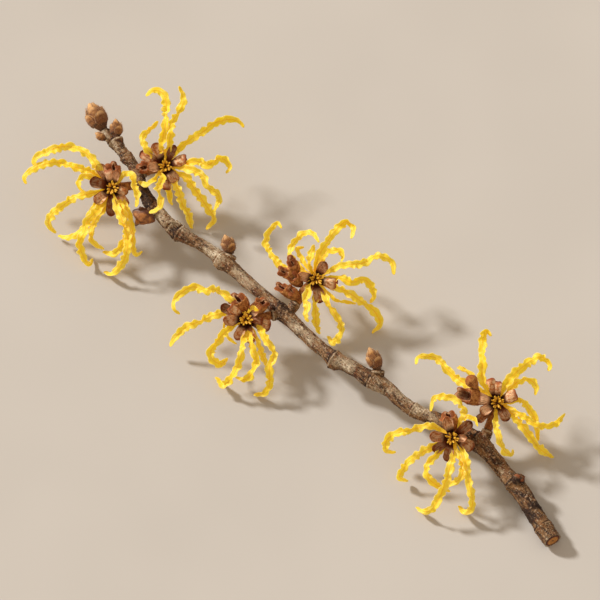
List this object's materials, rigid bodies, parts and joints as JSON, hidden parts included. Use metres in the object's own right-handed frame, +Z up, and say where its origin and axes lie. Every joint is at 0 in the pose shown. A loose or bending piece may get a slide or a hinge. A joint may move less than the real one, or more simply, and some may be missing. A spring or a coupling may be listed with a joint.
{
  "type": "witch hazel branch",
  "caption": "Cut twig in flower, with spidery crimped yellow petals in brown calyx clusters, felted buds and rough bark, lying on a surface.",
  "frame": {"origin": "middle of the branch's box in plan, at the height of the surface that it rests on", "axes": "+X along the twig from the cut end to the growing tip, +Z up from the surface, +Y to the left of the twig"},
  "size_m": [0.1672, 0.0613, 0.0231],
  "materials": {
    "bark": "rough, flaking grey-brown bark",
    "bud_felt": "matt felted scales",
    "calyx": "matt, faintly waxy",
    "petal": "soft crimped petal",
    "stamen": "matt golden"
  },
  "bodies": {
    "root": {"twig": "bark", "terminal_bud": "bud_felt", "side_bud": "bud_felt", "node_bud_1": "bud_felt", "node_bud_2": "bud_felt", "tiny_bud": "bud_felt", "old_cup": "bud_felt", "calyx_1": "calyx", "petals_1": "petal", "stamens_1": "stamen", "calyx_2": "calyx", "petals_2": "petal", "stamens_2": "stamen", "calyx_3": "calyx", "petals_3": "petal", "stamens_3": "stamen", "calyx_4": "calyx", "petals_4": "petal", "stamens_4": "stamen", "calyx_5": "calyx", "petals_5": "petal", "stamens_5": "stamen", "calyx_6": "calyx", "petals_6": "petal", "stamens_6": "stamen"}
  },
  "joints": []
}
